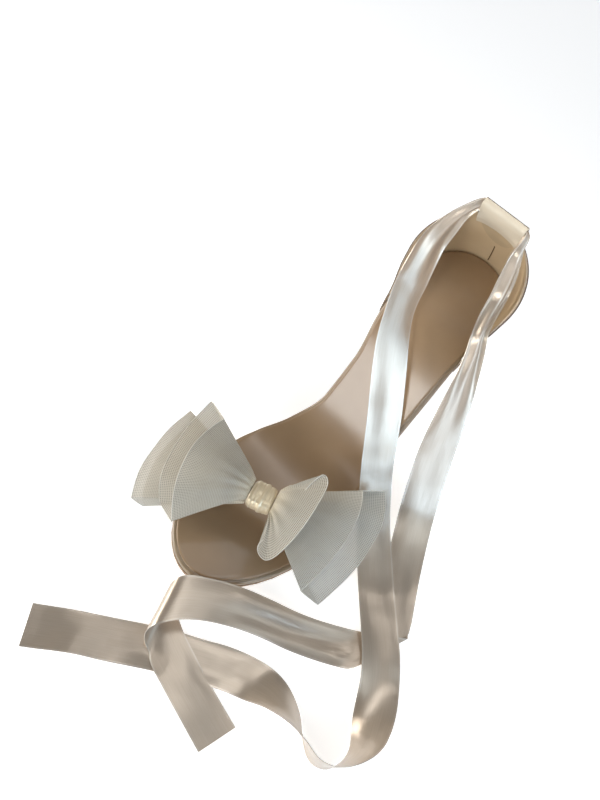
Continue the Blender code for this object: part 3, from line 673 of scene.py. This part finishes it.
FINISH = {
    "insole": leather_finish("blush_insole_leather", (162, 143, 118), (146, 127, 102), 0.30, 0.6),
    "sock": leather_finish("blush_sock_leather", (166, 140, 110), (154, 128, 99), 0.30, 0.5),
    "cup": leather_finish("blush_cup_leather", (186, 168, 146), (172, 152, 128), 0.30, 0.3),
    "lining": leather_finish("cup_lining_leather", (214, 192, 158), (198, 175, 141), 0.36, 0.15),
    "flap": leather_finish("cream_flap_leather", (226, 216, 198), (214, 203, 182), 0.38, 0.15),
    "outsole": leather_finish("buffed_outsole_leather", (168, 144, 116), (142, 118, 92), 0.55, 0.05, 0.15),
    "tab": leather_finish("cup_tab_leather", (200, 180, 148), (190, 168, 134), 0.36, 0.15),
    "thread": leather_finish("brown_seam_thread", (96, 70, 46), (76, 54, 34), 0.5, 0.0),
    "heel": lacquer_finish("brown_heel_lacquer", (74, 48, 34), (40, 22, 14)),
    # painted shade: a dark line standing for the shade where the cup's rim and the flap's back top turn away
    # from the light
    "shade_line": rubber_finish("painted_shade_line", (92, 72, 56)),
    "tip": rubber_finish("black_heel_tip_rubber", (24, 21, 19)),
    "satin": satin_finish("pale_ribbon_satin", (212, 198, 182), (202, 188, 171)),
    "knot": satin_finish("cream_knot_satin", (246, 230, 198), (230, 212, 178), width=0.07, shine=0.25),
    "net": net_finish("pale_bow_net", (190, 183, 167), (228, 214, 182)),
    "lip": net_finish("pale_bow_net_edge", (230, 227, 216), (230, 227, 216), pitch=0.0005, thread=0.9,
                      film=0.35, thread_cover=(0.5, 0.5)),
}


# ---- ribbons
RIBBON_THICK = 0.30
STRIP_STEPS = 6
STRIP_COLUMNS = 33
STRIP_FOLDS = 3
GATHER_DEPTH, GATHER_MOST = 0.28, 1.5
LONG_WAVE, SHORT_WAVE = 48, 25         # lengths of the waves in the parts that lie on the floor
TAIL_CROSSING, CROSSING_ROUND = (28.0, -210.0), 18
WAVE_FROM_X, WAVE_FADE = 75, 20
FLOOR_CLEAR = 0.3


def make_ribbon(name, node, route, phase):
    """A satin strip along its route, gathered into lengthwise folds where it is narrow."""
    knots = len(route["x"]) - 1
    places = np.linspace(0, knots, knots * STRIP_STEPS + 1)
    line = {column: curve_through(places, values) for column, values in route.items()}
    turn, climb = np.radians(line["turn"]), np.radians(line["climb"])
    across = np.stack([np.cos(turn) * np.cos(climb), np.sin(turn) * np.cos(climb), np.sin(climb)], 1)
    centre = np.stack([line["x"], line["y"], line["z"]], 1)
    width = line["width"]
    centre[:, 2] = np.maximum(centre[:, 2], np.abs(across[:, 2]) * width / 2 + 0.5)
    face = unit(np.cross(across, unit(np.gradient(centre, axis=0))))
    length = lengths_along(centre)
    spread = np.linspace(-1, 1, STRIP_COLUMNS)[None, :]
    gather = np.sqrt(np.maximum(RIBBON_WIDTH ** 2 - width ** 2, 0)) / STRIP_FOLDS * GATHER_DEPTH
    gather = np.minimum(gather, GATHER_MOST)[:, None]
    down = length[:, None]
    sway = spread + 0.10 * np.sin(down / 13 + phase)
    folds = gather * np.sin(STRIP_FOLDS * math.pi / 2 * (sway + 1))
    soft = 0.26 * np.sin(2.3 * spread + down / 19 + phase) + 0.14 * np.sin(4.1 * spread - down / 27)
    apart = np.hypot(line["x"] - TAIL_CROSSING[0], line["y"] - TAIL_CROSSING[1])
    lying = np.clip((3.0 - line["z"]) / 2, 0.0, 1.0) * np.clip(apart / CROSSING_ROUND - 1, 0.0, 1.0) \
        * np.clip((WAVE_FROM_X - line["x"]) / WAVE_FADE, 0.0, 1.0)
    lying = lying[:, None]
    wave = 0.4 + 0.3 * np.sin((down + 9 * spread) * 2 * math.pi / LONG_WAVE + phase) \
        + 0.1 * np.sin((down - 14 * spread) * 2 * math.pi / SHORT_WAVE + 2 * phase)
    height = folds + soft * (1 - 0.6 * lying) + wave * lying
    rows = centre[:, None] + across[:, None] * (spread * width[:, None] / 2)[:, :, None] \
        + face[:, None] * height[:, :, None]
    rows[:, :, 2] = np.maximum(rows[:, :, 2], FLOOR_CLEAR)
    piece = laid_cloth(name, rows, (spread + 1) / 2 * RIBBON_WIDTH, length[:, None])
    thicken(piece, RIBBON_THICK)
    fit(piece, "satin", "ribbon_satin", node)


# ---- bow
def lip_curve(points, count):
    """Points on the smooth curve through three points, without its last one."""
    first, middle, last = (np.array(point, float) for point in points)
    t = (np.arange(count) / count)[:, None]
    return first * (1 - t) * (1 - 2 * t) + middle * 4 * t * (1 - t) + last * t * (2 * t - 1)


def folded_ring(upper, lower, count):
    """A flat ring with sharp ends: along the upper lip, round its end and back along the lower."""
    side, end = round(count * 0.44), count // 2 - round(count * 0.44)
    upper, lower = np.array(upper, float), np.array(lower[::-1], float)
    t = (np.arange(end) / end)[:, None]
    return np.concatenate([lip_curve(upper, side), upper[-1] * (1 - t) + lower[0] * t,
                           lip_curve(lower, side), lower[-1] * (1 - t) + upper[0] * t])


def loop_rows(shape, count, steps):
    """Rings of a flared loop from its root at the knot to its mouth."""
    root = KNOT_CENTRE + BOW_AXIS * shape["side"] * LOOP_ROOT_OUT + np.array([0, 0, shape["root_up"]])
    wide, high = FOOTWARD * LOOP_ROOT_HALF[0], np.array([0, 0, LOOP_ROOT_HALF[1]])
    upper = (root - wide + high * 0.5, root + high * 1.1, root + wide + high * 0.5)
    lower = (root - wide - high * 0.5, root - high * 1.1, root + wide - high * 0.5)
    if "mouth" in shape:
        root_ring = ring_through((upper[0] * 0.5 + lower[0] * 0.5, upper[0], upper[1], upper[2],
                                  upper[2] * 0.5 + lower[2] * 0.5, lower[2], lower[1], lower[0]), count)
        mouth_ring = ring_through(shape["mouth"], count)
        middle = np.full(count, 1.0)
    else:
        root_ring = folded_ring(upper, lower, count)
        mouth_ring = folded_ring(shape["upper"], shape["lower"], count)
        middle = np.abs(np.sin(np.arange(count) / count * 2 * math.pi)) ** 0.8
    t = np.linspace(0, 1, steps + 1)[:, None, None]
    rings = root_ring[None] * (1 - t) + mouth_ring[None] * t
    rings[:, :, 2] += shape["arch"] * np.sin(math.pi * t[:, :, 0] ** 0.65) * (0.2 + 0.8 * middle)
    return rings


def make_loop(name, shape, phase):
    """A flared loop of net, pleated at the knot and rippled at its mouth, with a cord along its lip."""
    count, steps, pleats = 108, 30, 11
    rings = loop_rows(shape, count, steps)
    around = np.roll(rings, -1, 1) - np.roll(rings, 1, 1)
    face = unit(np.cross(around, np.gradient(rings, axis=0)))
    t = np.linspace(0, 1, steps + 1)[:, None]
    theta = np.arange(count)[None, :] / count * 2 * math.pi
    pleat = 0.55 * (1 - t) ** 1.4 * np.clip(t * 8, 0, 1) * np.sin(pleats * theta + phase)
    ripple = 0.35 * t ** 2 * np.sin(5 * theta + phase * 2)
    rings = rings + face * (pleat + ripple)[:, :, None]
    rings = np.concatenate([rings, rings[:, :1]], 1)
    along = added_up(np.linalg.norm(np.diff(rings, axis=0), axis=2).mean(1))
    loop = laid_cloth(name + "_loop", rings, lengths_along(rings[-1])[None, :],
                      (along - along[-1])[:, None], closed=True)
    thicken(loop, NET_THICK)
    fit(loop, "net", "bow_mesh", "bow_loop_" + name)
    lip = rounded_line(name + "_loop_lip", rings[-1][:-1], LIP_RADIUS, 6, closed=True)
    fit(lip, "lip", "bow_mesh")


def make_knot():
    """The satin band that gathers the bow, drawn into pleats that run over it."""
    count, columns = 84, 37
    s = np.linspace(-1, 1, columns)[None, :]
    theta = np.linspace(0, 2 * math.pi, count + 1)[:, None]
    full = 0.78 + 0.22 * np.sqrt(np.maximum(1 - np.abs(s) ** 2.6, 0))
    ridge = 0.030 * np.sin(8.0 * s + 0.7 * np.sin(theta) + 0.5) \
        + 0.020 * np.sin(15.0 * s + np.sin(2 * theta)) + 0.012 * np.sin(26.0 * s - 1.3 * np.cos(theta))
    swell = full + ridge * (1 - 0.6 * s ** 2)
    waist = 1 - 0.04 * np.cos(2 * theta)
    foot, up = (np.sign(wave) * np.abs(wave) ** 0.85 * half * swell * KNOT_FULL
                for wave, half in ((np.cos(theta), KNOT_HALF[1] * waist), (np.sin(theta), KNOT_HALF[2])))
    out = s * (KNOT_HALF[0] + 0.4 * np.cos(theta)) + 0 * theta
    rows = KNOT_CENTRE + out[:, :, None] * BOW_AXIS + foot[:, :, None] * FOOTWARD \
        + up[:, :, None] * np.array([0, 0, 1.0])
    girth = lengths_along(rows[:, columns // 2])[-1]
    knot = laid_cloth("bow_knot_band", rows, (s + 1) * KNOT_HALF[0], theta / (2 * math.pi) * girth,
                      closed=True)
    thicken(knot, KNOT_WALL, offset=-1.0)
    fit(knot, "knot", "ribbon_satin", "bow_knot", crease=70)
    return knot, girth


# ---- leather
def sole_places():
    """Places along the sole, close together where its two ends are round."""
    toe_start = INSOLE_LENGTH - TOE_ROUND_MEDIAL
    return np.concatenate([HEEL_ROUND * (np.arange(22) / 22) ** 2,
                           np.linspace(HEEL_ROUND, toe_start, 76)[:-1],
                           INSOLE_LENGTH - TOE_ROUND_MEDIAL * np.linspace(1, 0, 28) ** 2])


def sole_sheet(depth, draw_in, columns):
    """Rows of points of a level of the sole, with its outline drawn in."""
    rows = []
    for along in sole_places():
        inset = draw_in(along)
        row_along = along + inset * (1 - 2 * along / INSOLE_LENGTH)
        edges = []
        for side in (-1, 1):
            edges.append(side * half_width(along, side) * (1 - inset / body_width(along, side)))
        rows.append([sole_point(row_along, edges[0] + (edges[1] - edges[0]) * i / columns, depth)
                     for i in range(columns + 1)])
    return rows


def border(rows):
    """The outer items of a grid of rows, in order round it."""
    return rows[0] + [row[-1] for row in rows[1:-1]] + rows[-1][::-1] + [row[0] for row in rows[-2:0:-1]]


def sole_layer(name, levels, inset, columns=22):
    """A shaped layer of the sole: a top sheet, its rolled edge down through the levels, and a base."""
    layer = bmesh.new()
    rims = []
    for number, (depth, draw_in) in enumerate(levels):
        rows = sole_sheet(depth, lambda along: inset(along) + draw_in, columns)
        if number in (0, len(levels) - 1):
            rows = [[layer.verts.new(point) for point in row] for row in rows]
            for first, second in zip(rows, rows[1:]):
                for i in range(columns):
                    layer.faces.new((first[i], first[i + 1], second[i + 1], second[i]))
            rims.append(border(rows))
        else:
            rims.append([layer.verts.new(point) for point in border(rows)])
    for upper, lower in zip(rims, rims[1:]):
        for i in range(len(upper)):
            j = (i + 1) % len(upper)
            layer.faces.new((upper[i], upper[j], lower[j], lower[i]))
    bmesh.ops.scale(layer, vec=(MM, MM, MM), verts=layer.verts)
    mesh = bpy.data.meshes.new(name)
    layer.to_mesh(mesh)
    layer.free()
    piece = bpy.data.objects.new(name, mesh)
    bpy.context.scene.collection.objects.link(piece)
    weld(piece, 5e-6)
    return piece


def make_soles():
    """The wrapped insole and the sock on it: each level's depth, and how far its outline is drawn in."""
    top = SOCK_THICK + GAP
    insole = sole_layer("wrapped_insole", (
        (top, 1.9), (top + 0.03, 1.35), (top + 0.2, 0.75), (top + 0.5, 0.32), (top + 1.0, 0.06),
        (top + 1.5, 0.0), (top + 2.0, 0.04), (top + 2.5, 0.3), (top + 2.85, 0.8), (top + 3.0, 1.3)),
        lambda along: 0.0)
    fit(insole, "insole", "blush_patent_leather", "insole")
    sock = sole_layer("sock_lining", (
        (0.0, 1.3), (0.03, 0.8), (0.13, 0.38), (0.3, 0.1), (0.55, 0.0), (top - 0.06, 0.0)),
        lambda along: 0.35 + 1.6 * clamp((along - 44) / 18))
    fit(sock, "sock", "sock_leather", "sock")


# Strip finishes: the lining, the dark line of painted shade, and the cream flap leather
LINING_STRIP, SHADE_LINE_STRIP, CREAM_STRIP = 1, 2, 1


def cup_wall(along, side, up):
    """A place on the cup's inner face, and the level direction that points out of it."""
    outward = edge_frame(along, side)[1]
    level = Vector((outward.x, outward.y, 0.0)).normalized()
    if up < 0:
        edge = edge_frame(along, side)[0]
        return edge + level * GAP + (sole_point(along, 0, -up) - sole_point(along, 0, 0)), level
    return counter_point(along, side, up), level


def make_cup():
    """The heel cup: one wall that thins and sinks into the insole's edge at its two wings."""
    base = -(SOCK_THICK + INSOLE_THICK + GAP)
    heights, roll = 15, 6
    rows = []
    for place in np.linspace(-1, 1, 141):
        side, along = (-1 if place < 0 else 1), WING_END * abs(place) ** 1.5
        fade = clamp((WING_END - along) / WING_RUN)
        thick = COUNTER_THICK * (0.12 + 0.88 * fade ** 0.8)
        top = float(smooth(min(along, COUNTER_END), TOPLINE["along"], TOPLINE["height"]))
        top = top * fade ** 0.25 + (base + 0.5) * (1 - fade ** 0.25) - thick / 2
        ups = base + (top - base) * (np.arange(heights) / (heights - 1)) ** 0.9
        inner = [cup_wall(along, side, up) for up in ups]
        rim, level = inner[-1]
        rise = (rim - inner[-2][0]).normalized()
        row = [point for point, _ in inner]
        for i in range(1, roll):
            turn = math.pi * i / roll
            row.append(rim + level * (thick / 2) * (1 - math.cos(turn)) + rise * (thick / 2) * math.sin(turn))
        row += [point + out * thick for point, out in reversed(inner)]
        rows.append(row + row[:1])
    columns = len(rows[0])
    cup = laid_cloth("heel_cup", rows, np.arange(columns)[None, :] * 1.0, np.arange(len(rows))[:, None] * 1.0)
    strips = np.zeros((len(rows) - 1, columns - 1))
    strips[:, :heights] = LINING_STRIP
    # the outer part of the rim's roll carries the dark line of painted shade
    strips[:, heights + roll - 4:heights + roll - 1] = SHADE_LINE_STRIP
    mark_strips(cup, strips)
    weld(cup, 5e-6, fill=True)
    fit(cup, "cup", "blush_patent_leather", "counter")
    dress_strips(cup, "lining", "shade_line")


def wall_at(x, up):
    """The cup's inner face at a distance x from the back seam and a height above the heel seat."""
    low, high = 0.0, HEEL_ROUND
    for _ in range(30):
        middle = (low + high) / 2
        low, high = (low, middle) if half_width(middle, 1) > abs(x) else (middle, high)
    point = counter_point(low, 1 if x > 0 else -1, up)
    return Vector((x, point.y, point.z))


# The ribbon tunnel's section: how far out of the cup's wall and how far above the tunnel's middle.
FLAP_SECTION = table(
    "out up",
    (1.9, -10.5), (1.9, -7.5), (2.1, -4.5), (2.3, -1.5), (2.25, 1.5), (1.6, 3.7), (0.0, 4.55),
    (-1.6, 3.8), (-2.35, 1.2), (-2.5, -2.5), (-2.3, -6.0), (-2.0, -9.0), (-1.8, -11.4))
FLAP_HALF_LENGTH = 12.8
FLAP_THICK = 0.9
FLAP_STEPS = 6
SHADE_LINE_FROM, SHADE_LINE_TO = 4.6, 5.3      # the dark line of painted shade at the flap's back top, counted in the section's points


def make_tunnel():
    """One flap of leather folded over the cup's back edge, with the ribbon running through it."""
    spans = len(FLAP_SECTION["out"]) - 1
    places = np.linspace(0, spans, spans * FLAP_STEPS + 1)
    section = [curve_through(places, FLAP_SECTION[column]) for column in ("out", "up")]
    tall = (counter_point(0, 1, TUNNEL_UP) - counter_point(0, 1, TUNNEL_UP - 8)).normalized()
    deep = Vector((0.0, tall.z, -tall.y))
    centre = counter_point(0.0, 1, TUNNEL_UP) + Vector((0.0, COUNTER_THICK / 2, 0.0))
    xs = np.linspace(-FLAP_HALF_LENGTH, FLAP_HALF_LENGTH, 33)
    rows = []
    for out, up in zip(*section):
        hug = clamp((-up - 1.0) / 5.5)
        middle = wall_at(0.0, TUNNEL_UP + up)
        row = []
        for x in xs:
            bend = (wall_at(x, TUNNEL_UP + up) - middle) * hug
            row.append(centre + deep * out + tall * up + Vector((x, bend.y, bend.z)))
        rows.append(row)
    flap = laid_cloth("tunnel_flap", rows, (xs + FLAP_HALF_LENGTH)[None, :],
                      lengths_along(np.transpose(section))[:, None])
    strips = np.zeros((len(rows) - 1, len(xs) - 1))
    # the back top of the flap gets the dark line of painted shade, and the rest gets the cream flap leather
    strips[places[:-1] >= SHADE_LINE_FROM] = SHADE_LINE_STRIP
    strips[places[:-1] >= SHADE_LINE_TO] = CREAM_STRIP
    mark_strips(flap, strips)
    thicken(flap, FLAP_THICK)
    apply_modifier(flap, "BEVEL", width=0.15 * MM, segments=2, limit_method="ANGLE",
                   angle_limit=math.radians(60))
    fit(flap, "cup", "blush_patent_leather", "ribbon_tunnel", crease=50)
    dress_strips(flap, "flap", "shade_line")


def make_lining_tab():
    """A rounded reinforcement glued to the lining under the flap."""
    rows = []
    for step in np.linspace(0, 1, 15):
        row = []
        for s in np.linspace(-1, 1, 29):
            bottom = TAB_TOP - TAB_DROP * (1 - abs(s) ** 2.2)
            point = wall_at(s * TAB_HALF, TAB_TOP * (1 - step) + bottom * step)
            row.append(point - Vector((0.0, TAB_THICK, 0.0)))
        rows.append(row)
    tab = laid_cloth("lining_tab", rows, np.linspace(0, 2 * TAB_HALF, 29)[None, :],
                     np.linspace(0, TAB_DROP, 15)[:, None])
    thicken(tab, TAB_THICK)
    fit(tab, "tab", "blush_patent_leather", crease=50)


def make_back_seam():
    """The thread of the seam up the inside of the cup's back."""
    seam = [counter_point(0.0, 1, up, 0.12) for up in np.linspace(1.5, 15, 20)]
    thread = rounded_line("back_seam_thread", [list(point) for point in seam], 0.28, 6)
    fit(thread, "thread", "blush_patent_leather")


TIP_RIM, TIP_INSET, TIP_HOLLOW = 0.5, 3.0, 0.8


def pick_faces(piece, wanted):
    """Start editing a piece with only the wanted faces selected."""
    bpy.ops.object.mode_set(mode="OBJECT")
    bpy.ops.object.mode_set(mode="EDIT")
    bpy.ops.mesh.select_mode(type="FACE")
    mesh = bmesh.from_edit_mesh(piece.data)
    for face in mesh.faces:
        face.select_set(wanted(face))
    bmesh.update_edit_mesh(piece.data)


def make_heel_tip():
    """The top lift: a short turned block with rounded edges and a hollow for its pin."""
    clear_selection()
    low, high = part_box("heel_tip")
    bpy.ops.mesh.primitive_cylinder_add(vertices=48, radius=(high.x - low.x) / 2, depth=high.z - low.z,
                                        location=(low + high) / 2)
    lift = bpy.context.object
    lift.name = "heel_top_lift"
    bpy.ops.object.transform_apply(location=True, rotation=True, scale=True)
    pick_faces(lift, lambda face: abs(face.normal.z) > 0.9)
    bpy.ops.mesh.inset(thickness=TIP_RIM * MM)
    pick_faces(lift, lambda face: face.normal.z < -0.9 and len(face.verts) > 8)
    bpy.ops.mesh.inset(thickness=TIP_INSET * MM)
    bpy.ops.mesh.extrude_region_move(TRANSFORM_OT_translate={"value": (0, 0, TIP_HOLLOW * MM)})
    bpy.ops.object.mode_set(mode="OBJECT")
    apply_modifier(lift, "BEVEL", width=0.4 * MM, segments=2, limit_method="ANGLE")
    fit(lift, "tip", "heel_tip_rubber", "heel_tip", crease=40)


# ---- floor and lights
FLOOR_GLOW = 0.66
ROOM_AIR = (0.092, 0.080, 0.068, 1.0)
WINDOW_AIR = (2.5, 3.5, 4.6, 1.0)
HORIZON_AIR = (0.50, 0.49, 0.48, 1.0)

# Lamps and reflector cards: the way and the distance from the aim to the lamp, the aim, width, height
# and watts, whether it lights matt faces, whether it shows in glossy ones, and its colour.
LAMPS = {
    "left_light": ((-0.88, -0.40, 0.22), 0.80, (0.0, -0.06, 0.05), 0.40, 0.40, 3.6, True, True,
                   (1.0, 0.95, 0.88)),
    "front_light": ((-0.15, -0.92, 0.37), 0.80, (0.0, -0.06, 0.05), 0.24, 0.18, 1.6, True, True,
                    (1.0, 1.0, 0.98)),
    "window_light": ((0.77, -0.54, 0.34), 0.80, (0.04, -0.06, 0.05), 0.42, 0.36, 1.45, False, True,
                     (0.62, 0.80, 1.0)),
    "top_light": ((0.25, 0.12, 0.95), 0.21, (0.0, 0.0, 0.09), 0.13, 0.13, 0.27, True, False,
                  (1.0, 0.97, 0.92)),
    "back_card": ((-0.19, 0.33, 0.925), 3.00, (0.02, -0.21, 0.0), 1.20, 0.24, 5.0, False, True,
                  (1.0, 1.0, 1.0)),
    "strap_card": ((0.46, -0.147, 0.875), 0.198, (0.078, -0.085, 0.005), 0.115, 0.10, 0.054, False, True,
                   (0.80, 0.92, 1.0)),
    "tail_card": ((-0.15, 0.36, 0.92), 0.152, (0.05, -0.205, 0.002), 0.078, 0.034, 0.0175, False, True,
                  (0.97, 0.99, 1.0)),
}


def set_floor():
    """A plain pale floor, bright enough to be seen as white."""
    clear_selection()
    bpy.ops.mesh.primitive_plane_add(size=8.0, location=(0.0, 0.0, 0.0))
    floor = bpy.context.object
    floor.name = "pale_floor"
    material, graph, shader = start_finish("pale_floor_paint", Roughness=0.85, Emission_Strength=FLOOR_GLOW,
                                           Emission_Color=(1.0, 1.0, 1.0, 1.0))
    tone = graph.remap(graph.noise(graph.place(), 2.0, 2.0), 0.3, 0.7)
    graph.feed(shader, {"Base Color": graph.mix(tone, shade(250, 250, 250), shade(247, 247, 247))})
    floor.data.materials.append(material)


def set_air():
    """Dim warm air with a pale band at the horizon and a cool window at the shoe's right front."""
    world = bpy.data.worlds.new("studio_air")
    world.use_nodes = True
    air = Graph(world.node_tree)
    x, y, z = air.split(air.place("Generated"))
    window = 1.0
    for axis, low, high, at_low in ((x, 0.55, 0.75, 0.0), (z, 0.54, 0.66, 1.0), (z, 0.38, 0.48, 0.0),
                                    (y, 0.20, 0.40, 1.0)):
        window = air.math("MULTIPLY", window, air.remap(axis, low, high, at_low, 1 - at_low, True))
    level = air.remap(z, 0.20, 0.32, 1.0, 0.0, True)
    tint = air.mix(level, air.mix(window, ROOM_AIR, WINDOW_AIR), HORIZON_AIR)
    air.feed(world.node_tree.nodes["Background"], {"Color": tint, "Strength": 1.0})
    bpy.context.scene.world = world
    bpy.context.scene.view_settings.view_transform = "Standard"


def set_lamps():
    """Each of the lamps and reflector cards, turned towards its aim."""
    for name, (way, far, aim, wide, tall, power, matt, gloss, colour) in LAMPS.items():
        bpy.ops.object.light_add(type="AREA", location=Vector(aim) + Vector(way).normalized() * far,
                                 rotation=Vector(way).to_track_quat("Z", "Y").to_euler())
        lamp = bpy.context.object
        lamp.name = name
        lamp.data.shape = "RECTANGLE"
        lamp.data.size = wide
        lamp.data.size_y = tall
        lamp.data.energy = power
        lamp.data.color = colour
        lamp.visible_diffuse = matt
        lamp.visible_glossy = gloss


place_camera()
make_ribbon("medial_ribbon", "ribbon_medial", RIBBON_MEDIAL, 0.4)
make_ribbon("lateral_ribbon", "ribbon_lateral", RIBBON_LATERAL, 2.1)
knot, knot_girth = make_knot()
for number, (loop_name, loop_shape) in enumerate(LOOPS.items()):
    make_loop(loop_name, loop_shape, 0.7 * number)
make_soles()
make_cup()
make_tunnel()
make_lining_tab()
keep_solid("toe_strap", "strap_over_toes", 2, "cup", "blush_patent_leather")
make_back_seam()
make_heel_tip()
keep_solid("heel", "stiletto_heel", 0, "heel", "heel_lacquer")
keep_solid("outsole", "buffed_outsole", 0, "outsole", "outsole_leather")
set_floor()
set_air()
set_lamps()
